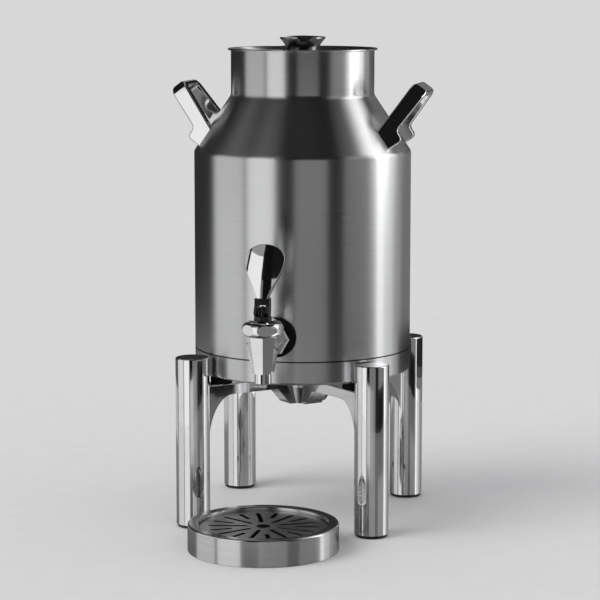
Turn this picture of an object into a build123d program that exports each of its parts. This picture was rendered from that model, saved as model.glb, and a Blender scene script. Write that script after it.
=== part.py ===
from build123d import *
import os
from math import asin, atan, cos, degrees, radians, sin, sqrt, tan

# A milk-can shaped beverage urn with a lever tap, on a four-legged stand, with a round drip tray.
# Millimetres, +Z up, tap towards -Y. Pieces are drawn about the can's axis, standing on z = 0,
# and are moved at the end so that the origin is the middle of the whole set's footprint.

# Clearances
slip = 0.3             # between pieces that slide past or rest round each other
seat = 0.05            # between pieces that are clamped, brazed or screwed together
hole_room = 0.2        # round a threaded shank in a plain hole
overshoot = 1.0        # how far a cut runs past the face that it opens
rounding_share = 0.9   # most of a face's length that a rounding may take
hex_sides = 6

# Stand: legs and feet
leg_diameter = 34.0
leg_height = 172.0
leg_wall = 3.0
leg_cap = 4.0          # closed top of the leg tube
leg_edge = 1.5         # rounding of the leg's top
leg_gap = 2.3          # between the can's wall and a leg
leg_angle = 45.0       # direction of the legs, from the X axis
foot_height = 3.0      # visible edge of the glide
foot_diameter = 32.0
foot_plug = 15.0       # length of the glide's plug in the tube
foot_edge = 0.8

# Stand: cross frame and the pads that carry the can
frame_top = 143.2
arm_width = 20.0
arm_depth = 11.2
arm_edge = 1.5         # rounding along the arm's top
arm_bend = 5.6         # rounding where the arm's underside bends
rib_bend = 1.6         # rounding of the corner under the hub
gusset_drop = 60.0     # from the arm's top to the gusset's lower end
gusset_run = 28.0      # length of the arch from the leg to the straight part of the arm
gusset_bite = 4.0      # how far the arch's lower end runs into the leg's round
hub_depth = 28.0       # from the arm's top to the hub's underside
hub_radius = 17.0      # underside of the hub
hub_flare = 3.6        # how much wider the hub is at the arms
hub_rib = 21.0         # how far the arms stay as deep as the hub
arm_flare = 14.5       # length of the arm's slope down to the hub
pad_diameter = 22.0
pad_height = 7.3
pad_inset = 0.5        # from the edge of the can's flat underside to a rest pad
pad_plug_diameter = 6.0
pad_plug_depth = 5.0

# Can: outer shell and base
body_radius = 110.0
shell_wall = 1.2
base_band = 23.0       # height of the base pan, up to the seam
base_edge = 2.5        # rounding of the base pan's lower edge
seam_gap = 1.1
seam_lip = 6.5         # lip of the base pan inside the shell
body_height = 200.0    # from the seam to the shoulder
shoulder_height = 56.5
shoulder_round = 7.0
neck_radius = 72.5
neck_height = 44.7
weld_offset = 8.0      # from the shoulder's corners to the flush welds of the wall

# Can: inner vessel, hung from the neck
vessel_gap = 10.8      # between the shell and the vessel's wall
vessel_wall = 1.0
vessel_lift = 21.5     # from the can's underside to the vessel's floor
vessel_round = 8.0
vessel_shoulder_drop = 7.5
vessel_neck_gap = 3.0
vessel_rim = 1.4       # flange that closes the top of the neck

# Lid and knob
lid_overhang = 3.1
lid_edge = 2.0         # thickness of the flat rim
lid_rim_width = 7.0
lid_dish = 8.5         # depth of the dish below the rim
lid_sheet = 1.5
skirt_wall = 1.2
skirt_depth = 13.0
skirt_gap = 3.4        # between the skirt and the vessel's neck
seal_height = 5.0
seal_rise = 2.0        # from the skirt's lower edge to the seal
seal_wall = 1.1        # of the seal between its lips
knob_height = 20.3
knob_rim_radius = 23.0
knob_waist_radius = 16.3
knob_flare_radius = 17.6  # partway up, where the knob starts to widen
knob_flare_height = 10.5
knob_rim_edge = 1.6
knob_crown = 1.2
knob_screw_diameter = 5.0
knob_screw_depth = 9.0
screw_head_diameter = 9.0
screw_head_height = 3.2

# Handles on the shoulder
handle_rise = 18.5     # from the shoulder's foot to the middle of the handle's feet
handle_lean = 54.0     # from the horizontal
handle_length = 59.0
handle_thickness = 13.5
grip_thickness = 16.0  # at the top
handle_foot_half = 41.0
handle_top_half = 26.5
post_width = 10.5
grip_depth = 6.5       # top bar, along the handle
grip_cut = 7.0         # bevel across the grip's outer corners
foot_reach = 16.5      # thickness of the foot under the posts, measured level
foot_drop = 14.5       # from the middle of the posts down to the foot's lower end
foot_inset = 22.0      # how far a handle is drawn into the can before it is cut to the shoulder
foot_bend = 6.0        # inner rounding between a post and its foot
foot_round = 5.0       # rounding of the foot's outer corner
handle_corner = 4.0
handle_edge = 1.3
handle_screw_spread = 68.0  # between the two screws of a handle
handle_screw_diameter = 4.0
handle_screw_depth = 7.0

# Tap: fixing through the can's walls
tap_height = 48.0      # above the can's underside
tap_reach = 55.0       # from the can's wall to the spout's axis
shank_diameter = 16.0
shank_bore = 10.0
washer_diameter = 39.0
washer_front = 4.0     # from the can's wall to the washer's front
collar_across = 28.0   # across the flats
collar_length = 12.0
collar_edge = 1.5
spigot_diameter = 14.0
spigot_length = 12.0
spacer_diameter = 22.0
tap_seal_diameter = 28.0
tap_seal_front = 4.0   # from the vessel's wall to the seal's inner face
nut_across = 24.0
nut_length = 8.0
shank_end = 2.0        # shank left past the nut

# Tap: body, bonnet and valve
barrel_diameter = 19.0
spout_drop = 35.7      # from the shank's axis to the spout's tip
spout_top = 9.7        # from the shank's axis to the top of the body
spout_wall = 7.0       # from the valve chamber to the spout's top corners
spout_taper = 10.1
spout_sides = 8
spout_turn = 9.0       # of the facets, from one that faces forward
tip_height = 9.5
tip_radius = 8.2
outlet_diameter = 10.0
valve_seat_drop = 12.5 # from the shank's axis to the valve seat
bonnet_height = 14.0
bonnet_radius = 20.0   # at its rounded corners
bonnet_across = 36.4   # across the flats
bonnet_end_radius = 15.8  # where the rounded corners meet the top and the bottom
bonnet_turn = 22.5     # where the thread tightens, from a flat facing forward
bonnet_dome = 1.8
bonnet_land = 3.6      # flat top left round the gland
bonnet_spigot = 4.5
bonnet_roof = 7.8      # thickness above the spring
gland_diameter = 17.0
gland_height = 3.0
gland_bush_diameter = 11.0
stem_diameter = 7.4
cup_diameter = 17.0
cup_gap = 1.5          # round the cup in its chamber
cup_height = 8.0
cup_socket = 5.0
cup_edge = 1.5
stem_room = 0.1        # round the stem in its gland
spring_diameter = 11.2
spring_wire = 1.2
spring_turns = 5
spring_gap = 0.8       # round the spring in the bonnet

# Tap: lever
valve_lift = 3.0
lever_swing = 60.0
pin_height = 6.0       # from the cam's foot to the pin
pin_diameter = 3.0
pin_room = 0.05
prong_width = 14.0
prong_thickness = 2.9
prong_back = 4.0
clevis_depth = 10.0
clevis_slot = 5.2      # from the pin to the slot's roof
clevis_top = 11.5      # from the pin to the top of the block
stud_diameter = 5.0    # paddle's stud in the block
stud_depth = 4.0
paddle_lean = 14.0
paddle_length = 51.5
paddle_neck_half = 5.3
paddle_flank_half = 12.25
paddle_flank_at = 15.2
paddle_half = 19.2
paddle_wide_at = 38.0
paddle_thickness = 11.0
paddle_bulge_at = 20.6 # height of the thickest place
paddle_cross_radius = 50.0
paddle_long_radius = 150.0
paddle_edge = 0.5      # rounding along the outline

# Drip tray
tray_radius = 73.4
tray_height = 26.0
tray_sheet = 1.5
tray_rim = 11.0
tray_edge = 2.0        # rounding of the pressed edges
tray_corner = 0.5      # tight corners under the grid and in the well
grid_recess = 4.0      # from the rim to the grid's face
ledge_width = 4.0
well_lift = 3.0        # underside of the well above the table
grid_thickness = 2.0
grid_hole_diameter = 14.0
grid_slots = 18
slot_width = 4.4
slot_end = 5.0         # from the slots' ends to the ledge
long_slot_start = 15.0
short_slot_start = 31.0

# Heights and radii that follow
leg_radius = leg_diameter / 2
leg_circle = body_radius + leg_gap + leg_radius
pad_circle = body_radius - base_edge - pad_inset - pad_diameter / 2
can_bottom = frame_top + pad_height
seam_z = can_bottom + base_band
body_top = seam_z + body_height
neck_bottom = body_top + shoulder_height
neck_top = neck_bottom + neck_height
shell_top = neck_top - vessel_rim
shoulder_slope = (body_radius - neck_radius) / shoulder_height
shell_inner = body_radius - shell_wall
vessel_radius = shell_inner - vessel_gap
vessel_inner = vessel_radius - vessel_wall
vessel_bottom = can_bottom + vessel_lift
vessel_neck_radius = neck_radius - shell_wall - vessel_neck_gap
vessel_shoulder_start = body_top - vessel_shoulder_drop
vessel_shoulder_end = vessel_shoulder_start + (vessel_radius - vessel_neck_radius) / shoulder_slope
mouth_radius = vessel_neck_radius - vessel_wall
tap_z = can_bottom + tap_height
spout_reach = body_radius + tap_reach
lid_radius = neck_radius + lid_overhang
lid_top = neck_top + lid_edge
dish_bottom = lid_top - lid_dish
skirt_radius = mouth_radius - skirt_gap

# Widths and heights in the tap
chamber_diameter = cup_diameter + 2 * cup_gap
spout_top_radius = chamber_diameter / 2 + spout_wall
spring_room_diameter = spring_diameter + spring_wire + 2 * spring_gap
spout_tip = tap_z - spout_drop
body_joint = tap_z + spout_top
valve_seat = tap_z - valve_seat_drop
bonnet_bottom = body_joint + seat
bonnet_top = bonnet_bottom + bonnet_height
bonnet_crown = bonnet_top + bonnet_dome
bonnet_ceiling = bonnet_crown - bonnet_roof
gland_top = bonnet_crown + gland_height
pin_z = gland_top + slip + pin_height
cup_bottom = valve_seat + slip
cup_top = cup_bottom + cup_height
cam_rate = valve_lift / radians(lever_swing)

# The set's footprint, which gives the origin
footprint_front = spout_reach + tray_radius
footprint_back = max(body_radius, leg_circle * sin(radians(leg_angle)) + leg_radius)
axis_y = (footprint_front - footprint_back) / 2

# Work planes: the tap's axis pointing out of the can, and the spout's vertical axis
tap_plane = Plane(origin=(0, 0, tap_z), x_dir=(1, 0, 0), z_dir=(0, -1, 0))
spout_axis = Pos(0, -spout_reach, 0)


def rod(radius, low, high):
    """Round bar along Z between two heights."""
    return Pos(0, 0, low) * Cylinder(radius, high - low, align=(Align.CENTER, Align.CENTER, Align.MIN))


def tube(radius, bore, low, high):
    """Round tube along Z; the bore runs past both ends."""
    return rod(radius, low, high) - rod(bore, low - overshoot, high + overshoot)


def prism(across_flats, sides, low, high):
    """Regular bar along Z with a flat facing along its X axis."""
    corner_radius = across_flats / 2 / cos(radians(180 / sides))
    outline = RegularPolygon(corner_radius, sides, rotation=180 / sides)
    return Pos(0, 0, low) * extrude(outline, high - low)


def turned(*edges):
    """Solid of revolution about Z from edges that close a profile in radius and height."""
    return revolve(Plane.XZ * make_face(Curve() + list(edges)), Axis.Z)


def sheet_line(points, rounding, wall):
    """Profile of a bent sheet; its wall lies to the left of the line through the points."""
    line = FilletPolyline(*points, radius=rounding)
    return make_face(offset(line, wall, side=Side.LEFT).edges())


def can_envelope(room):
    """The can's outside filled solid, grown by a clearance, for saddle-shaped cuts."""
    line = FilletPolyline(
        (body_radius + room, can_bottom),
        (body_radius + room, body_top),
        (neck_radius + room, neck_bottom),
        (neck_radius + room, neck_top),
        radius=shoulder_round,
    )
    axis_line = Polyline(line @ 1, (0, neck_top), (0, can_bottom), line @ 0)
    return turned(line, axis_line)


def between(piece, low, high):
    """The part of a piece between two heights."""
    return piece & rod(2 * body_radius, low, high)


def cylinder_wall(radius):
    """Upright cylinder about the can's axis at the height of the tap, for saddle-shaped cuts."""
    return rod(radius, can_bottom, body_top)


# Stand

def leg_place(index):
    """Place of one of the four legs, counted round from the back right."""
    return Rot(0, 0, leg_angle + 90 * index) * Pos(leg_circle, 0, 0)


def leg():
    bar = rod(leg_radius, foot_height, leg_height)
    bar = fillet(bar.edges().sort_by(Axis.Z)[-1], leg_edge)
    return bar - rod(leg_radius - leg_wall, foot_height - overshoot, leg_height - leg_cap)


def foot():
    glide = rod(foot_diameter / 2, 0, foot_height)
    glide = chamfer(glide.edges().sort_by(Axis.Z)[0], foot_edge)
    return glide + rod(leg_radius - leg_wall - seat, foot_height, foot_height + foot_plug)


def arm_profile():
    """One arm in side view: flat top, slope down to the hub and an arch into the leg."""
    underside = frame_top - arm_depth
    hub_bottom = frame_top - hub_depth
    arch_end = leg_circle - leg_radius + gusset_bite
    arch_start = arch_end - gusset_run
    gusset_bottom = frame_top - gusset_drop
    slope = FilletPolyline(
        (0, hub_bottom),
        (hub_rib, hub_bottom),
        (hub_rib + arm_flare, underside),
        (arch_start, underside),
        radius=[rib_bend, arm_bend],
    )
    arch = EllipticalCenterArc(
        (arch_start, gusset_bottom), gusset_run, underside - gusset_bottom, start_angle=0, arc_size=90
    )
    outer = Polyline((arch_end, gusset_bottom), (leg_circle, gusset_bottom), (leg_circle, frame_top))
    top = Polyline((leg_circle, frame_top), (0, frame_top), (0, hub_bottom))
    return make_face(Curve() + [slope, arch, outer, top])


def cross_frame():
    arm = extrude(Plane.XZ * arm_profile(), arm_width / 2, both=True)
    top_edges = arm.edges().filter_by(Axis.X).group_by(Axis.Z)[-1]
    arm = fillet(top_edges, arm_edge)
    hub_top = hub_radius + hub_flare
    hub_bottom = frame_top - hub_depth
    hub = turned(
        Polyline(
            (0, hub_bottom),
            (hub_radius, hub_bottom),
            (hub_top, frame_top - arm_depth),
            (hub_top, frame_top),
            (0, frame_top),
            (0, hub_bottom),
        )
    )
    frame = hub
    for index in range(4):
        frame += Rot(0, 0, leg_angle + 90 * index) * arm
    hole_bottom = frame_top - pad_plug_depth - seat
    pad_hole = rod(pad_plug_diameter / 2 + seat, hole_bottom, frame_top + overshoot)
    for index in range(4):
        frame -= leg_place(index) * rod(leg_radius + seat, 0, leg_height)
        frame -= pad_place(index) * pad_hole
    return frame


def pad_place(index):
    """Place of one of the four rest pads, on the middle line of an arm."""
    return Rot(0, 0, leg_angle + 90 * index) * Pos(pad_circle, 0, 0)


def rest_pads():
    pad = rod(pad_diameter / 2, frame_top, can_bottom)
    pad += rod(pad_plug_diameter / 2, frame_top - pad_plug_depth, frame_top)
    return Compound(children=[pad_place(index) * pad for index in range(4)])


# Can

def tap_cut(radius):
    """Round hole for the tap through the can's front walls."""
    return tap_plane * rod(radius, 0, spout_reach)


def base_pan():
    lip_radius = shell_inner - seat
    top = seam_z - seam_gap / 2
    bottom_arc_centre = (body_radius - base_edge, can_bottom + base_edge)
    lower_edge = CenterArc(bottom_arc_centre, base_edge, -90, 90)
    inner_edge = CenterArc(bottom_arc_centre, base_edge - shell_wall, 0, -90)
    outside = Polyline(
        lower_edge @ 1,
        (body_radius, top),
        (lip_radius, top),
        (lip_radius, top + seam_lip),
        (lip_radius - shell_wall, top + seam_lip),
        (lip_radius - shell_wall, top - shell_wall),
        (shell_inner, top - 2 * shell_wall),
        inner_edge @ 0,
    )
    floor = Polyline(inner_edge @ 1, (0, can_bottom + shell_wall), (0, can_bottom), lower_edge @ 0)
    return turned(lower_edge, outside, inner_edge, floor)


def can_wall():
    """The can's whole outer wall, before it is parted at its welds into body, shoulder and neck."""
    profile = sheet_line(
        [
            (body_radius, seam_z + seam_gap / 2),
            (body_radius, body_top),
            (neck_radius, neck_bottom),
            (neck_radius, shell_top),
        ],
        shoulder_round,
        shell_wall,
    )
    shell = revolve(Plane.XZ * profile, Axis.Z)
    shell -= tap_cut(shank_diameter / 2 + hole_room)
    screw_hole = rod(handle_screw_diameter / 2 + hole_room, -screw_head_diameter, screw_head_diameter)
    for place in screw_places():
        shell -= place * screw_hole
    return shell


def vessel_walls():
    """The whole inner vessel, before it is parted at its welds into floor, wall, shoulder and neck."""
    profile = sheet_line(
        [
            (0, vessel_bottom),
            (vessel_radius, vessel_bottom),
            (vessel_radius, vessel_shoulder_start),
            (vessel_neck_radius, vessel_shoulder_end),
            (vessel_neck_radius, neck_top),
        ],
        vessel_round,
        vessel_wall,
    )
    vessel = revolve(Plane.XZ * profile, Axis.Z)
    vessel += tube(neck_radius, mouth_radius, shell_top, neck_top)
    return vessel - tap_cut(shank_diameter / 2 + hole_room)


# Handles

post_offset = handle_foot_half - post_width / 2
handle_z = body_top + handle_rise
handle_circle = body_radius - shoulder_slope * handle_rise
handle_x = sqrt(handle_circle**2 - post_offset**2)
shoulder_angle = atan(shoulder_slope)
lean_direction = (cos(radians(handle_lean)), 0, sin(radians(handle_lean)))
face_direction = (sin(radians(handle_lean)), 0, -cos(radians(handle_lean)))
uphill_direction = (-sin(shoulder_angle), 0, cos(shoulder_angle))
handle_origin = (handle_x, 0, handle_z)
handle_side = Plane(origin=handle_origin, x_dir=lean_direction, z_dir=(0, 1, 0))
handle_front = Plane(origin=handle_origin, x_dir=(0, 1, 0), z_dir=face_direction)
shoulder_side = Plane(origin=handle_origin, x_dir=uphill_direction, z_dir=(0, 1, 0))


def trapezoid(foot_half, top_half, foot, top):
    """Symmetric outline that narrows or widens upwards."""
    return make_face(
        Polyline((-foot_half, foot), (foot_half, foot), (top_half, top), (-top_half, top), close=True)
    )


def top_corners(outline):
    return outline.vertices().sort_by(Axis.Y)[-2:]


def handle_profile():
    """Side view: a post that thickens towards the grip, with a rounded foot down the shoulder.

    The lower ends of both lie inside the can, where the handle is cut to the shoulder.
    """
    below = handle_length / 2
    post = trapezoid(handle_thickness / 2, grip_thickness / 2, -below, handle_length)
    post = Rot(0, 0, -90) * fillet(top_corners(post), handle_corner)
    foot_depth = foot_reach * cos(shoulder_angle)
    foot = Pos(-foot_drop / 2, -foot_depth / 2) * Rectangle(foot_drop, 3 * foot_depth)
    bend_place = shoulder_side.from_local_coords((0, foot_depth))
    toe_place = shoulder_side.from_local_coords((-foot_drop, foot_depth))
    kept = Pos(0, handle_length - foot_inset) * Rectangle(4 * handle_length, 2 * handle_length)
    profile = (handle_side * post + shoulder_side * foot) & (shoulder_side * kept)
    profile = fillet(profile.vertices().sort_by_distance(bend_place)[0], foot_bend)
    toe, bend_end = profile.vertices().sort_by_distance(toe_place)[:2]
    face_left = (toe.center() - bend_end.center()).length
    return fillet(toe, min(foot_round, rounding_share * face_left))


def handle_outline():
    """Front view: two posts that draw together towards the grip, open at the bottom."""
    draw_in = (handle_foot_half - handle_top_half) / handle_length
    below = handle_length / 2
    foot_half = handle_foot_half + draw_in * below
    grip_underside = handle_length - grip_depth
    inner_top = handle_top_half + draw_in * grip_depth - post_width
    outer = trapezoid(foot_half, handle_top_half, -below, handle_length)
    opening = trapezoid(foot_half - post_width, inner_top, -below, grip_underside)
    return chamfer(top_corners(outer), grip_cut) - fillet(top_corners(opening), handle_corner)


def handle_right():
    side = extrude(handle_profile(), 2 * handle_foot_half, both=True)
    posts = extrude(handle_front * handle_outline(), handle_length, both=True)
    handle = side & posts
    handle = fillet(handle.edges(), handle_edge)
    handle -= can_envelope(seat)
    screw_hole = rod(handle_screw_diameter / 2 + hole_room, -shell_wall, handle_screw_depth + slip)
    for place in screw_places():
        handle -= place * screw_hole
    return handle


def handle_left():
    return mirror(handle_right(), Plane.YZ)


def screw_places():
    """Four places on the shoulder, Z pointing out of it: the right handle's posts, then the left's."""
    side = degrees(asin(handle_screw_spread / 2 / handle_circle))
    tip = 90 - degrees(shoulder_angle)
    azimuths = (-side, side, 180 - side, 180 + side)
    return [Rot(0, 0, azimuth) * Pos(handle_circle, 0, handle_z) * Rot(0, tip, 0) for azimuth in azimuths]


def handle_screws():
    under_head = -shell_wall - hole_room
    screw = rod(handle_screw_diameter / 2, under_head, handle_screw_depth)
    screw += rod(screw_head_diameter / 2, under_head - screw_head_height, under_head)
    return Compound(children=[place * screw for place in screw_places()])


# Lid

rim_inner = lid_radius - lid_rim_width
dish_sphere = (rim_inner**2 + lid_dish**2) / (2 * lid_dish)


def dish_height(radius):
    """Height of the lid's dished face at a radius."""
    return dish_bottom + dish_sphere - sqrt(dish_sphere**2 - radius**2)


def dish_arc(drop):
    """The dish's arc from the axis to the rim, lowered by the sheet or a clearance."""
    middle = rim_inner / 2
    return ThreePointArc(
        (0, dish_bottom - drop), (middle, dish_height(middle) - drop), (rim_inner, lid_top - drop)
    )


def lid():
    top = dish_arc(0)
    underside = dish_arc(lid_sheet)
    bead = CenterArc((lid_radius - lid_edge / 2, lid_top - lid_edge / 2), lid_edge / 2, 90, -180)
    rim_top = Line(top @ 1, bead @ 0)
    rim_underside = Polyline(bead @ 1, (rim_inner, neck_top), underside @ 1)
    middle = Line(underside @ 0, top @ 0)
    plate = turned(top, rim_top, bead, rim_underside, underside, middle)
    return plate - rod(knob_screw_diameter / 2 + hole_room, dish_bottom - lid_dish, lid_top)


def lid_skirt():
    underside = dish_arc(lid_sheet + seat)
    above = Polyline(underside @ 1, (rim_inner, lid_top), (0, lid_top), underside @ 0)
    ring = tube(skirt_radius, skirt_radius - skirt_wall, neck_top - skirt_depth, lid_top)
    return ring - turned(underside, above)


def lid_seal():
    """Silicone ring stretched over the skirt, with two lips towards the vessel's neck."""
    low = neck_top - skirt_depth + seal_rise
    high = low + seal_height
    inner = skirt_radius + seat
    root = inner + seal_wall
    lip = mouth_radius - slip
    outline = Polyline(
        (inner, low),
        (root, low),
        (lip, low + seal_height / 4),
        (root, low + seal_height / 2),
        (lip, high - seal_height / 4),
        (root, high),
        (inner, high),
        (inner, low),
    )
    return turned(outline)


def lid_knob():
    base = dish_height(knob_waist_radius) + seat
    top = base + knob_height - knob_crown
    rim_low = top - knob_rim_edge
    flare = Spline(
        (knob_waist_radius, base),
        (knob_flare_radius, base + knob_flare_height),
        (knob_rim_radius, rim_low),
        tangents=[(0, 1), (1, 1)],
    )
    rim = Line((knob_rim_radius, rim_low), (knob_rim_radius, top))
    crown_sphere = (knob_rim_radius**2 + knob_crown**2) / (2 * knob_crown)
    crown_half = degrees(asin(knob_rim_radius / crown_sphere))
    crown = CenterArc((0, top + knob_crown - crown_sphere), crown_sphere, 90 - crown_half, crown_half)
    inside = Polyline((0, top + knob_crown), (0, base), (knob_waist_radius, base))
    knob = turned(flare, rim, crown, inside)
    return knob - rod(knob_screw_diameter / 2 + hole_room, dish_bottom, base + knob_screw_depth + slip)


def knob_screw():
    under_head = dish_bottom - lid_sheet - seat
    screw = rod(knob_screw_diameter / 2, under_head, dish_bottom + knob_screw_depth)
    return screw + rod(screw_head_diameter / 2, under_head - screw_head_height, under_head)


# Tap: fixing

washer_face = body_radius + washer_front
collar_back = washer_face + seat
collar_front = collar_back + collar_length
tap_seal_face = vessel_inner - tap_seal_front
nut_front = tap_seal_face - seat
nut_back = nut_front - nut_length


def tap_washer():
    """Black washer, flat in front and shaped to the can's wall behind."""
    disc = tap_plane * tube(washer_diameter / 2, shank_diameter / 2 + seat, vessel_radius, washer_face)
    return disc - cylinder_wall(body_radius + seat)


def tap_spacer():
    """Sleeve between the shell and the vessel that takes the nut's pull."""
    sleeve = tap_plane * tube(spacer_diameter / 2, shank_diameter / 2 + seat, nut_back, washer_face)
    return (sleeve & cylinder_wall(shell_inner - seat)) - cylinder_wall(vessel_radius + seat)


def tap_seal():
    """Seal inside the vessel, flat towards the nut and shaped to the vessel's wall."""
    disc = tube(tap_seal_diameter / 2, shank_diameter / 2 + seat, tap_seal_face, body_radius)
    return (tap_plane * disc) & cylinder_wall(vessel_inner - seat)


def tap_nut():
    nut = prism(nut_across, hex_sides, nut_back, nut_front) - rod(shank_diameter / 2 + seat, 0, body_radius)
    return tap_plane * nut


def tap_shank():
    shank = rod(shank_diameter / 2, nut_back - shank_end, collar_back)
    collar = Rot(0, 0, 180 / hex_sides) * prism(collar_across, hex_sides, collar_back, collar_front)
    collar = chamfer(collar.faces().sort_by(Axis.Z)[-1].edges(), collar_edge)
    shank += collar
    shank += rod(spigot_diameter / 2, collar_front, collar_front + spigot_length)
    return tap_plane * (shank - rod(shank_bore / 2, 0, spout_reach))


# Tap: body and valve

def spout():
    """Faceted spout that tapers to a plain round tip."""
    tip_top = spout_tip + tip_height
    lower_radius = spout_top_radius - (body_joint - tip_top) * tan(radians(spout_taper))
    turn = 180 / spout_sides - spout_turn
    upper = Pos(0, 0, body_joint) * RegularPolygon(spout_top_radius, spout_sides, rotation=turn)
    lower = Pos(0, 0, tip_top) * RegularPolygon(lower_radius, spout_sides, rotation=turn)
    return loft([lower, upper]) + rod(tip_radius, spout_tip, tip_top)


def tap_body():
    body = spout_axis * spout()
    body += tap_plane * rod(barrel_diameter / 2, collar_front + seat, spout_reach)
    body -= spout_axis * rod(chamber_diameter / 2, valve_seat, body_joint + overshoot)
    body -= spout_axis * rod(outlet_diameter / 2, spout_tip - overshoot, valve_seat + overshoot)
    body -= tap_plane * rod(shank_bore / 2, collar_front, spout_reach)
    spigot_end = collar_front + spigot_length + seat
    return body - tap_plane * rod(spigot_diameter / 2 + seat, collar_front, spigot_end)


def tap_bonnet():
    """Six-sided cap with rounded shoulders, screwed into the top of the body."""
    crown_radius = gland_diameter / 2 + bonnet_land
    middle = (bonnet_bottom + bonnet_top) / 2
    side = ThreePointArc(
        (bonnet_end_radius, bonnet_bottom), (bonnet_radius, middle), (bonnet_end_radius, bonnet_top)
    )
    outline = Polyline(
        side @ 1,
        (crown_radius, bonnet_crown),
        (0, bonnet_crown),
        (0, bonnet_bottom),
        side @ 0,
    )
    flats = Rot(0, 0, bonnet_turn - 90) * prism(bonnet_across, hex_sides, bonnet_bottom, bonnet_crown)
    cap = turned(side, outline) & flats
    spigot_bottom = bonnet_bottom - bonnet_spigot
    cap += rod(chamber_diameter / 2 - seat, spigot_bottom, bonnet_bottom)
    cap -= rod(spring_room_diameter / 2, spigot_bottom - overshoot, bonnet_ceiling)
    cap -= rod(gland_bush_diameter / 2 + seat, bonnet_ceiling - overshoot, bonnet_crown + overshoot)
    return spout_axis * cap


def tap_gland():
    """Black bush that guides the stem, with a flange on top of the bonnet."""
    flange_bottom = bonnet_crown + seat
    gland = rod(gland_diameter / 2, flange_bottom, gland_top)
    gland += rod(gland_bush_diameter / 2, bonnet_ceiling, flange_bottom)
    gland -= rod(stem_diameter / 2 + stem_room, bonnet_ceiling - overshoot, gland_top + overshoot)
    return spout_axis * gland


def seat_cup():
    cup = rod(cup_diameter / 2, cup_bottom, cup_top)
    cup = chamfer(cup.edges().sort_by(Axis.Z)[-1], cup_edge)
    cup -= rod(stem_diameter / 2 + seat, cup_top - cup_socket, cup_top + overshoot)
    return spout_axis * cup


def valve_stem():
    stem = rod(stem_diameter / 2, cup_top - cup_socket + seat, pin_z)
    stem += Pos(0, 0, pin_z) * Sphere(stem_diameter / 2)
    pin_hole = rod(pin_diameter / 2 + pin_room, -prong_width, prong_width)
    stem -= Pos(0, 0, pin_z) * Rot(0, 90, 0) * pin_hole
    return spout_axis * stem


def return_spring():
    """Coil spring between the cup and the bonnet's ceiling."""
    low = cup_top + spring_wire / 2 + seat
    high = bonnet_ceiling - spring_wire / 2 - seat
    radius = spring_diameter / 2
    path = Helix((high - low) / spring_turns, high - low, radius, center=(0, 0, low))
    section = Plane(origin=path @ 0, z_dir=path % 0) * Circle(spring_wire / 2)
    return spout_axis * sweep(section, path=path)


# Tap: lever

lever_place = Pos(0, -spout_reach, pin_z)
slot_half = prong_width / 2 - prong_thickness
clevis_half = clevis_depth / 2


def cam_point(angle):
    """Point of the lever's foot, an involute: turning it by an angle lifts the pin in proportion."""
    reach = pin_height + cam_rate * angle
    return (-reach * sin(angle) - cam_rate * cos(angle), -reach * cos(angle) + cam_rate * sin(angle))


def lever_clevis():
    swing = radians(lever_swing)
    cam = Spline(*[cam_point(swing * step / 4) for step in range(5)])
    rest = Polyline(
        cam @ 1,
        (-clevis_half, clevis_slot),
        (-clevis_half, clevis_top),
        (clevis_half, clevis_top),
        (clevis_half, 0),
        (prong_back, -pin_height),
        cam @ 0,
    )
    block = extrude(Plane.YZ * make_face(Curve() + [cam, rest]), prong_width / 2, both=True)
    slot_height = clevis_slot + 2 * pin_height
    block -= Pos(0, 0, clevis_slot - slot_height / 2) * Box(2 * slot_half, 4 * clevis_depth, slot_height)
    block -= Rot(0, 90, 0) * rod(pin_diameter / 2 + seat, -prong_width, prong_width)
    block -= rod(stud_diameter / 2 + seat, clevis_top - stud_depth - seat, clevis_top + overshoot)
    return lever_place * block


def lever_pin():
    return lever_place * Rot(0, 90, 0) * rod(pin_diameter / 2, -prong_width / 2, prong_width / 2)


def paddle_outline():
    """Half of the paddle's teardrop outline, mirrored about its middle line."""
    neck = paddle_neck_half
    side = Spline(
        (neck, 0),
        (paddle_flank_half, paddle_flank_at),
        (paddle_half, paddle_wide_at),
        tangents=[(paddle_half - neck, paddle_wide_at), (0, 1)],
    )
    top = EllipticalCenterArc(
        (0, paddle_wide_at), paddle_half, paddle_length - paddle_wide_at, start_angle=0, arc_size=90
    )
    close = Polyline(top @ 1, (0, -neck), (neck, -neck), (neck, 0))
    half = make_face(Curve() + [side, top, close])
    return half + mirror(half, Plane.YZ)


def lever_paddle():
    """Polished paddle, bulged on both faces, leaning back from the lever's block."""
    plate = extrude(Plane.XZ * paddle_outline(), paddle_thickness, both=True)
    ring = Rot(0, 90, 0) * Torus(paddle_long_radius - paddle_cross_radius, paddle_cross_radius)
    back_off = paddle_long_radius - paddle_thickness / 2
    bulge = (Pos(0, back_off, paddle_bulge_at) * ring) & (Pos(0, -back_off, paddle_bulge_at) * ring)
    foot = clevis_top + seat
    blade = plate & bulge
    blade = fillet(blade.edges(), paddle_edge)
    paddle = Pos(0, 0, foot) * Rot(-paddle_lean, 0, 0) * blade
    paddle -= rod(paddle_length, -paddle_length, foot)
    paddle += rod(stud_diameter / 2, clevis_top - stud_depth, clevis_top + stud_depth)
    return lever_place * paddle


# Drip tray

tray_place = Pos(0, -spout_reach, 0)
ledge_z = tray_height - grid_recess - grid_thickness
ledge_outer = tray_radius - tray_rim
ledge_inner = ledge_outer - ledge_width


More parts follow.
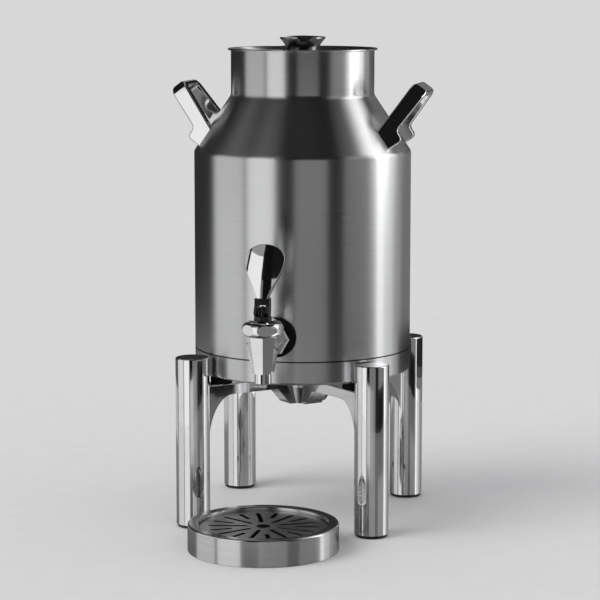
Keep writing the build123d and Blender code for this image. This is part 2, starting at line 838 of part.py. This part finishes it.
def drip_tray():
    """One pressed sheet: outer wall, flat rim, step, ledge for the grid, and the well."""
    floor = well_lift + tray_sheet
    profile = sheet_line(
        [
            (tray_radius, 0),
            (tray_radius, tray_height),
            (ledge_outer, tray_height),
            (ledge_outer, ledge_z),
            (ledge_inner, ledge_z),
            (ledge_inner, floor),
            (0, floor),
        ],
        [tray_edge, tray_edge, tray_corner, tray_edge, tray_corner],
        tray_sheet,
    )
    return tray_place * revolve(Plane.XZ * profile, Axis.Z)


def drip_grid():
    """Round plate with a middle hole and radial slots, long and short by turns."""
    plate = Circle(ledge_outer - tray_corner - slip) - Circle(grid_hole_diameter / 2)
    slot_outer = ledge_inner - slot_end
    for index in range(grid_slots):
        slot_inner = short_slot_start if index % 2 else long_slot_start
        slot = SlotOverall(slot_outer - slot_inner, slot_width)
        middle = (slot_outer + slot_inner) / 2
        plate -= Rot(0, 0, -90 + index * 360 / grid_slots) * Pos(middle, 0, 0) * slot
    return tray_place * Pos(0, 0, ledge_z) * extrude(plate, grid_thickness)


# All pieces, each under its own name

corner_names = ("back_right", "back_left", "front_left", "front_right")
shell = can_wall()
shell_welds = (body_top - weld_offset, neck_bottom + weld_offset)
vessel = vessel_walls()
floor_weld = vessel_bottom + 2 * vessel_wall
vessel_welds = (vessel_shoulder_start - weld_offset, vessel_shoulder_end + weld_offset)
pieces = {
    "cross_frame": cross_frame(),
    "rest_pads": rest_pads(),
    "outer_shell": between(shell, can_bottom, shell_welds[0]),
    "shoulder_shell": between(shell, *shell_welds),
    "neck_shell": between(shell, shell_welds[1], neck_top),
    "base_pan": base_pan(),
    "vessel_floor": between(vessel, can_bottom, floor_weld),
    "inner_vessel": between(vessel, floor_weld, vessel_welds[0]),
    "vessel_shoulder": between(vessel, *vessel_welds),
    "vessel_neck": between(vessel, vessel_welds[1], neck_top),
    "handle_right": handle_right(),
    "handle_left": handle_left(),
    "handle_screws": handle_screws(),
    "lid": lid(),
    "lid_skirt": lid_skirt(),
    "lid_seal": lid_seal(),
    "lid_knob": lid_knob(),
    "knob_screw": knob_screw(),
    "tap_washer": tap_washer(),
    "tap_spacer": tap_spacer(),
    "tap_seal": tap_seal(),
    "tap_nut": tap_nut(),
    "tap_shank": tap_shank(),
    "tap_body": tap_body(),
    "tap_bonnet": tap_bonnet(),
    "tap_gland": tap_gland(),
    "seat_cup": seat_cup(),
    "valve_stem": valve_stem(),
    "return_spring": return_spring(),
    "lever_clevis": lever_clevis(),
    "lever_pin": lever_pin(),
    "lever_paddle": lever_paddle(),
    "drip_tray": drip_tray(),
    "drip_grid": drip_grid(),
}
for index, corner in enumerate(corner_names):
    pieces["leg_" + corner] = leg_place(index) * leg()
    pieces["foot_" + corner] = leg_place(index) * foot()

os.makedirs("parts", exist_ok=True)
for name, piece in pieces.items():
    export_step(Pos(0, axis_y, 0) * piece, os.path.join("parts", name + ".step"))
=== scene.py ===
import math

import bmesh
import bpy
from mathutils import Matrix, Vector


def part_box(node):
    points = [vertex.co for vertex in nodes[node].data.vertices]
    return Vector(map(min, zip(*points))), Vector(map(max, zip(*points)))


# Looks of a beverage urn, and a plain studio round it with panels that show only in its metal.
# Lengths are in metres, colours and levels are linear.

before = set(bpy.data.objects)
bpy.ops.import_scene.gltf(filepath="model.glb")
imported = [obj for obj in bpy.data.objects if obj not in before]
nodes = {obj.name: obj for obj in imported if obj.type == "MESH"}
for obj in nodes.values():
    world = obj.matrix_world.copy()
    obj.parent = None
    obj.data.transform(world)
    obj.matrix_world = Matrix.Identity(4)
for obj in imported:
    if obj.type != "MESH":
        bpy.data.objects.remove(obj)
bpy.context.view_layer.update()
scene = bpy.context.scene


def upright_axis(node):
    """Foot of the upright line through the middle of a round node."""
    low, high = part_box(node)
    return ((low.x + high.x) / 2, (low.y + high.y) / 2, 0.0)


# Places in the shared frame
can_axis = upright_axis("lid_knob")
tray_axis = upright_axis("drip_grid")
camera_turn = math.radians(13.3)
seam_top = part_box("outer_shell")[0].z
seam_width = 0.0012
seam_lap = 0.0002
past_can = 0.2
grid_low, grid_high = [corner.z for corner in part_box("drip_grid")]
cut_margin = 0.0003
well_edge = 0.001
well_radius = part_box("drip_grid")[1].x - well_edge
well_floor = 0.001
hub_radius = 0.034
hub_low, hub_high = 0.05, 0.2
hub_edge = 0.006

# Dark zones of a material: radius round its axis, bottom and top height, and half the width of a soft
# edge. The seam is a dark joint line; the others are painted shade, in the tray's well, inside the grid's
# slots and on the frame's hub under the can
seam = (past_can, seam_top - seam_width, seam_top + seam_lap)
well_shade = (well_radius, well_floor, grid_low - cut_margin)
slot_wall_shade = (well_radius, grid_low + cut_margin, grid_high - cut_margin)
hub_shade = (hub_radius, hub_low, hub_high, hub_edge)

# Brushed grain: scale of its noise along the grain, and in lines per metre across it
fine_grain = (1.2, 1500.0)
coarse_grain = (0.5, 420.0)
streak_wear = (-0.004, 0.004)
mark_scale = 14.0
mark_wear = (-0.006, 0.008)

# Smudges and waves of plated metal
smudge_scale = 38.0
smudge_haze = 0.04
wave_scale = 55.0
wave_strength = 0.02
wave_depth = 0.004

# Grain and dust of plastic and rubber
speck_scale = 900.0
speck_strength = 0.1
speck_depth = 0.0002
dust_scale = 60.0
dust_wear = 0.06


def add(tree, kind, inputs=None, **settings):
    """New shader node; each input is a plain value or another node's output."""
    node = tree.nodes.new("ShaderNode" + kind)
    for name, value in settings.items():
        setattr(node, name, value)
    for name, value in (inputs or {}).items():
        if isinstance(value, bpy.types.NodeSocket):
            tree.links.new(value, node.inputs[name])
        else:
            node.inputs[name].default_value = value
    return node


def principled(name, inputs):
    """Material with one Principled shader whose constant inputs are set on its own sockets."""
    material = bpy.data.materials.new(name)
    material.use_nodes = True
    shader = material.node_tree.nodes["Principled BSDF"]
    for socket, value in inputs.items():
        shader.inputs[socket].default_value = value
    return material.node_tree, shader, material


def grey(tone):
    return (tone, tone, tone)


def noise(tree, vector, scale=1.0, detail=2.0):
    return add(tree, "TexNoise", {"Vector": vector, "Scale": scale, "Detail": detail}).outputs[0]


def spread(tree, value, low, high, start=0.3, end=0.7):
    """Maps a range of a value, such as a texture's middle range, onto another."""
    inputs = {"Value": value, "From Min": start, "From Max": end, "To Min": low, "To Max": high}
    return add(tree, "MapRange", inputs).outputs[0]


def blend(tree, factor, first, second):
    """Colour between two colours."""
    node = add(tree, "Mix", {0: factor}, data_type="RGBA")
    for socket, value in ((node.inputs[6], first), (node.inputs[7], second)):
        if isinstance(value, bpy.types.NodeSocket):
            tree.links.new(value, socket)
        else:
            socket.default_value = (*value, 1.0)
    return node.outputs[2]


def bump(tree, shader, height, strength, distance):
    node = add(tree, "Bump", {"Height": height, "Strength": strength, "Distance": distance})
    tree.links.new(node.outputs[0], shader.inputs["Normal"])


def object_place(tree):
    return add(tree, "TexCoord").outputs["Object"]


def vector_math(tree, operation, first, second):
    return add(tree, "VectorMath", {0: first, 1: second}, operation=operation).outputs[0]


def math_node(tree, operation, first, second):
    return add(tree, "Math", {0: first, 1: second}, operation=operation).outputs[0]


def round_place(tree, axis):
    """Level offset from an upright axis, its length, and the height."""
    local = vector_math(tree, "SUBTRACT", object_place(tree), axis)
    flat = vector_math(tree, "MULTIPLY", local, (1.0, 1.0, 0.0))
    reach = add(tree, "VectorMath", {0: flat}, operation="LENGTH").outputs["Value"]
    height = add(tree, "SeparateXYZ", {0: local}).outputs[2]
    return flat, reach, height


def grain_round(tree, axis, along, across):
    """Coordinates of a grain that runs round an upright axis: slow along it, fast across it."""
    flat, reach, height = round_place(tree, axis)
    direction = add(tree, "VectorMath", {0: flat}, operation="NORMALIZE").outputs[0]
    slow = add(tree, "VectorMath", {0: direction, "Scale": along}, operation="SCALE").outputs[0]
    fast = math_node(tree, "MULTIPLY", math_node(tree, "ADD", reach, height), across)
    lift = add(tree, "CombineXYZ", {2: fast}).outputs[0]
    return vector_math(tree, "ADD", slow, lift)


def round_zone(tree, axis, radius, bottom, top, edge=0.0001):
    """1 inside an upright cylinder, 0 outside it."""
    _, reach, height = round_place(tree, axis)
    within = spread(tree, reach, 1.0, 0.0, radius - edge, radius + edge)
    above = spread(tree, height, 0.0, 1.0, bottom - edge, bottom + edge)
    below = spread(tree, height, 1.0, 0.0, top - edge, top + edge)
    return math_node(tree, "MULTIPLY", within, math_node(tree, "MULTIPLY", above, below))


def brushed(name, axis, dark, light, roughness, anisotropic=0.8, joint_and_shade_zone=None, joint_and_shade_tone=0.02):
    """Stainless sheet brushed round an upright axis, with soft handling marks and perhaps a dark zone: the
    seam's dark joint line, and painted shade in the tray's well and inside the grid's slots.
    """
    constants = {"Metallic": 1.0, "Anisotropic": anisotropic, "Anisotropic Rotation": 0.25}
    tree, shader, material = principled(name, constants)
    fine = noise(tree, grain_round(tree, axis, *fine_grain), detail=1.0)
    coarse = noise(tree, grain_round(tree, axis, *coarse_grain), detail=3.0)
    marks = noise(tree, object_place(tree), mark_scale, detail=3.0)
    streaks = math_node(tree, "MULTIPLY", math_node(tree, "ADD", fine, coarse), 0.5)
    tone = blend(tree, spread(tree, streaks, 0.0, 1.0), dark, light)
    if joint_and_shade_zone:
        tone = blend(tree, round_zone(tree, axis, *joint_and_shade_zone), tone, grey(joint_and_shade_tone))
    tree.links.new(tone, shader.inputs["Base Color"])
    worn = math_node(tree, "ADD", spread(tree, streaks, *streak_wear), spread(tree, marks, *mark_wear))
    tree.links.new(math_node(tree, "ADD", worn, roughness), shader.inputs["Roughness"])
    tangent = add(tree, "Tangent", direction_type="RADIAL", axis="Z")
    tree.links.new(tangent.outputs[0], shader.inputs["Tangent"])
    return material


def polished(name, dark, light, roughness, joint_and_shade_zone=None, joint_and_shade_tone=0.4):
    """Bright plated metal with faint waves and smudges, and perhaps a zone round the can's axis darkened
    to grey as painted shade.
    """
    tree, shader, material = principled(name, {"Metallic": 1.0})
    place = object_place(tree)
    smudge = noise(tree, place, smudge_scale, detail=4.0)
    tone = blend(tree, spread(tree, smudge, 0.0, 1.0), dark, light)
    if joint_and_shade_zone:
        tone = blend(tree, round_zone(tree, can_axis, *joint_and_shade_zone), tone, grey(joint_and_shade_tone))
    tree.links.new(tone, shader.inputs["Base Color"])
    haze = spread(tree, smudge, roughness, roughness + smudge_haze)
    tree.links.new(haze, shader.inputs["Roughness"])
    bump(tree, shader, noise(tree, place, wave_scale, detail=1.0), wave_strength, wave_depth)
    return material


def moulded(name, dark, light, roughness, gloss=0.4):
    """Plastic or rubber with a fine moulded grain and some dust."""
    tree, shader, material = principled(name, {"Specular IOR Level": gloss})
    place = object_place(tree)
    speck = noise(tree, place, speck_scale)
    dust = noise(tree, place, dust_scale, detail=3.0)
    tree.links.new(blend(tree, spread(tree, dust, 0.0, 1.0), dark, light), shader.inputs["Base Color"])
    dulled = spread(tree, dust, roughness - dust_wear, roughness + dust_wear)
    tree.links.new(dulled, shader.inputs["Roughness"])
    bump(tree, shader, speck, speck_strength, speck_depth)
    return material


def paint(material, *names):
    for name in names:
        nodes[name].data.materials.clear()
        nodes[name].data.materials.append(material)


# Dark and light end of a metal's tone
sheet = ((0.67, 0.675, 0.68), (0.715, 0.72, 0.725))
tray_sheet = ((0.64, 0.645, 0.65), (0.70, 0.705, 0.71))
grid_sheet = ((0.60, 0.60, 0.60), (0.72, 0.72, 0.71))
plating = ((0.84, 0.84, 0.85), (0.90, 0.90, 0.91))

can_steel = brushed("can_steel", can_axis, *sheet, roughness=0.28, joint_and_shade_zone=seam, joint_and_shade_tone=0.10)
lid_steel = brushed("lid_steel", can_axis, *sheet, roughness=0.13)
# The tray's well under the grid is darkened nearly to black as painted shade.
tray_steel = brushed("tray_steel", tray_axis, *tray_sheet, roughness=0.19, joint_and_shade_zone=well_shade)
# The walls inside the grid's slots are darkened nearly to black as painted shade.
grid_steel = brushed(
    "grid_steel", tray_axis, *grid_sheet, roughness=0.36, anisotropic=0.4, joint_and_shade_zone=slot_wall_shade
)
knob_steel = brushed("knob_steel", can_axis, grey(0.28), grey(0.35), roughness=0.16, anisotropic=0.6)
chrome = polished("chrome", *plating, roughness=0.04)
# The frame's hub under the can is darkened to grey as painted shade.
frame_chrome = polished("frame_chrome", *plating, roughness=0.04, joint_and_shade_zone=hub_shade)
dark_chrome = polished("dark_chrome", grey(0.05), grey(0.09), roughness=0.10)
screw_steel = polished("screw_steel", grey(0.52), grey(0.60), roughness=0.22)
black_plastic = moulded("black_plastic", grey(0.010), grey(0.020), roughness=0.32)
black_rubber = moulded("black_rubber", grey(0.004), grey(0.008), roughness=0.62, gloss=0.1)
silicone = moulded("silicone", (0.70, 0.70, 0.68), (0.78, 0.78, 0.76), roughness=0.45)

corners = ("back_right", "back_left", "front_left", "front_right")
paint(can_steel, "outer_shell", "shoulder_shell", "neck_shell", "base_pan", "inner_vessel")
paint(can_steel, "vessel_floor", "vessel_shoulder", "vessel_neck", "lid_skirt")
paint(lid_steel, "lid")
paint(tray_steel, "drip_tray")
paint(grid_steel, "drip_grid")
paint(frame_chrome, "cross_frame")
paint(chrome, *["leg_" + corner for corner in corners])
paint(chrome, "handle_right", "handle_left")
paint(knob_steel, "lid_knob")
paint(chrome, "tap_shank", "tap_body", "tap_bonnet", "tap_nut", "lever_paddle")
paint(dark_chrome, "lever_clevis")
paint(screw_steel, "handle_screws", "knob_screw", "lever_pin", "return_spring", "tap_spacer")
paint(black_plastic, "tap_gland", "valve_stem", *["foot_" + corner for corner in corners])
paint(black_rubber, "rest_pads", "tap_washer", "seat_cup")
paint(silicone, "lid_seal", "tap_seal")


def linked(name, data):
    item = bpy.data.objects.new(name, data)
    scene.collection.objects.link(item)
    return item


def turned(profile, angle):
    """A profile's radii and heights as points, turned about Z, in degrees from -Y to the right."""
    across, away = math.sin(math.radians(angle)), -math.cos(math.radians(angle))
    return [(radius * across, radius * away, height) for radius, height in profile]


def strip_mesh(name, columns, closed=False):
    """Surface over columns of points that stand side by side."""
    mesh = bpy.data.meshes.new(name)
    shape = bmesh.new()
    rows = [[shape.verts.new(point) for point in column] for column in columns]
    if closed:
        rows.append(rows[0])
    for left, right in zip(rows, rows[1:]):
        for step in range(len(left) - 1):
            shape.faces.new((left[step], right[step], right[step + 1], left[step + 1]))
    shape.to_mesh(mesh)
    shape.free()
    return mesh


def ring_mesh(name, profile, steps):
    """Whole surface of revolution about Z."""
    return strip_mesh(name, [turned(profile, 360 * step / steps) for step in range(steps)], closed=True)


def panel_mesh(name, start, end, profile, step_angle=4):
    """Part of a surface of revolution between two angles."""
    steps = max(2, round((end - start) / step_angle))
    angles = [start + (end - start) * step / steps for step in range(steps + 1)]
    return strip_mesh(name, [turned(profile, angle) for angle in angles])


# Floor, just under the feet
floor_height = -0.0003
floor_radius = 80.0
floor_tones = ((0.77, 0.76, 0.75), (0.79, 0.78, 0.77))
fibre_scale = 40.0
sheen_tone = 0.9
sheen_roughness = 0.12
sheen_share = 0.8
# A flat ring's hole, too small to see
pin_hole = 0.001


def floor():
    """Pale paper to the eye; the metal sees it with a satin sheen that mirrors the room."""
    tree, shader, material = principled("floor_paper", {"Roughness": 0.9, "Specular IOR Level": 0.0})
    fibre = noise(tree, object_place(tree), fibre_scale, detail=3.0)
    tone = blend(tree, spread(tree, fibre, 0.0, 1.0), *floor_tones)
    tree.links.new(tone, shader.inputs["Base Color"])
    sheen = add(tree, "BsdfGlossy", {"Color": (*grey(sheen_tone), 1.0), "Roughness": sheen_roughness})
    seen_by_metal = add(tree, "LightPath").outputs["Is Glossy Ray"]
    share = math_node(tree, "MULTIPLY", seen_by_metal, sheen_share)
    mixed = add(tree, "MixShader", {0: share, 1: shader.outputs[0], 2: sheen.outputs[0]})
    tree.links.new(mixed.outputs[0], tree.nodes["Material Output"].inputs["Surface"])
    paper = [(pin_hole, floor_height), (floor_radius, floor_height)]
    item = linked("floor", ring_mesh("floor", paper, steps=64))
    item.data.materials.append(material)


# Panels that stand round the object, by the angle from the camera's direction, in degrees to its right:
# start and end angle, bottom and top height, and level
studio_radius = 0.65
studio_panels = {
    "left_rear_flag": (-158, -104, 0.13, 0.7, 0.03),
    "left_rear_low": (-158, -104, 0.035, 0.13, 0.10),
    "left_rear_foot": (-158, -104, 0.0, 0.035, 0.50),
    "left_softbox": (-99, -60, 0.0, 0.36, 0.70),
    "left_softbox_top": (-99, -60, 0.36, 0.63, 0.52),
    "left_wall": (-99, -60, 0.63, 1.0, 0.12),
    "left_key_softbox": (-56, -27, 0.0, 0.61, 0.92),
    "left_key_wall": (-56, -27, 0.61, 1.0, 0.30),
    "left_flag": (-23, -8, 0.055, 0.8, 0.005),
    "front_low_softbox": (-22, -3, 0.0, 0.055, 0.55),
    "front_low_wall": (-3, 14, 0.0, 0.055, 0.30),
    "front_wall": (-8, 24, 0.30, 0.42, 0.42),
    "right_flag": (24, 40, 0.0, 0.7, 0.02),
    "right_low_flag": (40, 70, 0.0, 0.055, 0.01),
    "right_wall": (44, 70, 0.4, 1.0, 0.30),
    "right_step": (70, 78, 0.055, 0.33, 0.30),
    "right_window": (78, 88, 0.0, 0.31, 1.3),
    "right_window_edge": (88, 104, 0.0, 0.31, 0.74),
    "right_fill": (104, 120, 0.0, 0.33, 0.37),
    "right_top_rise": (70, 78, 0.33, 1.1, 1.0),
    "right_window_top": (78, 95, 0.31, 0.5, 2.5),
    "right_window_side": (95, 109, 0.31, 0.5, 1.2),
    "right_window_high": (78, 98, 0.5, 1.1, 1.9),
    "right_window_high_side": (98, 111, 0.5, 1.1, 1.5),
    "right_fill_top": (109, 128, 0.33, 0.6, 0.36),
    "back_wall": (128, 162, 0.45, 0.8, 0.16),
    "back_dark": (162, 181.5, 0.45, 0.8, 0.012),
    "back_lamp": (182.3, 183.7, 0.45, 0.8, 1.2),
    "back_wall_left": (183.7, 202, 0.45, 0.8, 0.14),
    "back_flag": (165, 202, 0.0, 0.45, 0.03),
}
# Small flag beside the back right leg, lighter towards its lower edge, as the panels
near_radius = 0.22
near_panels = {
    "right_leg_flag": (97, 140, 0.125, 0.17, 0.02),
    "right_leg_flag_low": (97, 140, 0.113, 0.125, 0.07),
    "right_leg_flag_edge": (97, 140, 0.1, 0.113, 0.18),
}
# Room behind the panels, with radii and heights of its vaulted ceiling
wall_gap = 0.01
wall_level = 0.19
ceiling_height = 0.41
ceiling_vault = [(0.66, 1.0), (0.5, 1.25), (0.25, 1.38), (0.01, 1.4)]
ceiling_level = 0.009
overhead_radius = 0.2
overhead_height = 1.3
overhead_level = 0.22
# Pale slope behind the object, which its upper faces show from above: angles, radii and heights, and level
skylight_angles = (111, 232)
skylight_slope = [(0.645, 0.86), (0.6, 1.05), (0.45, 1.2), (0.2, 1.3)]
skylight_level = 0.28


def glow(name, level):
    """Material of one grey level that needs no light."""
    material = bpy.data.materials.new(name)
    material.use_nodes = True
    tree = material.node_tree
    tree.nodes.clear()
    light = add(tree, "Emission", {"Color": (*grey(level), 1.0), "Strength": 1.0})
    add(tree, "OutputMaterial", {"Surface": light.outputs[0]})
    return material


def mirrored_only(mesh, level):
    """Object of the studio that only the metal shows, turned to the camera."""
    item = linked(mesh.name, mesh)
    item.location = can_axis
    item.rotation_euler = (0, 0, camera_turn)
    item.data.materials.append(glow(mesh.name, level))
    item.visible_camera = False
    item.visible_diffuse = False
    item.visible_shadow = False


def studio():
    """A plain room with soft boxes and dark flags."""
    wall = studio_radius + wall_gap
    upright = [(wall, 0.0), (wall, ceiling_height)]
    mirrored_only(ring_mesh("studio_wall", upright, steps=96), wall_level)
    vault = [(wall + wall_gap, ceiling_height - wall_gap), *ceiling_vault]
    mirrored_only(ring_mesh("studio_ceiling", vault, steps=96), ceiling_level)
    disc = [(pin_hole, overhead_height), (overhead_radius, overhead_height)]
    mirrored_only(ring_mesh("overhead_softbox", disc, steps=48), overhead_level)
    for radius, panels in ((studio_radius, studio_panels), (near_radius, near_panels)):
        for name, (start, end, bottom, top, level) in panels.items():
            mirrored_only(panel_mesh(name, start, end, [(radius, bottom), (radius, top)]), level)
    mirrored_only(panel_mesh("skylight", *skylight_angles, skylight_slope), skylight_level)


sky_colour = (0.95, 0.97, 1.0)
sky_level = 0.65
lamp_level = 1.2
lamp_width = math.radians(40)
lamp_tilt = math.radians(48)
lamp_turn = math.radians(-50)


def daylight():
    """Even pale surroundings and one soft lamp from the upper left."""
    world = bpy.data.worlds.new("surroundings")
    world.use_nodes = True
    sky = world.node_tree.nodes["Background"]
    sky.inputs["Color"].default_value = (*sky_colour, 1.0)
    sky.inputs["Strength"].default_value = sky_level
    scene.world = world
    lamp = bpy.data.lights.new("soft_lamp", "SUN")
    lamp.energy = lamp_level
    lamp.angle = lamp_width
    item = linked("soft_lamp", lamp)
    item.rotation_euler = (lamp_tilt, 0, lamp_turn)
    item.visible_glossy = False


def camera():
    """At the photograph's place: image 600 by 600, focal length and axis in pixels."""
    reach, height, pitch = 2.2887, 0.5515, math.radians(8.25)
    focal, axis_offset, width = 2256.0, 2.63, 600.0
    lens = bpy.data.cameras.new("camera")
    lens.sensor_width = 36.0
    lens.lens = focal / width * lens.sensor_width
    lens.clip_end = 300.0
    item = linked("camera", lens)
    item.location = (reach * math.sin(camera_turn), can_axis[1] - reach * math.cos(camera_turn), height)
    item.rotation_euler = (math.pi / 2 - pitch, 0, camera_turn + math.atan(axis_offset / focal))
    scene.camera = item


floor()
studio()
daylight()
camera()
scene.view_settings.view_transform = "Standard"
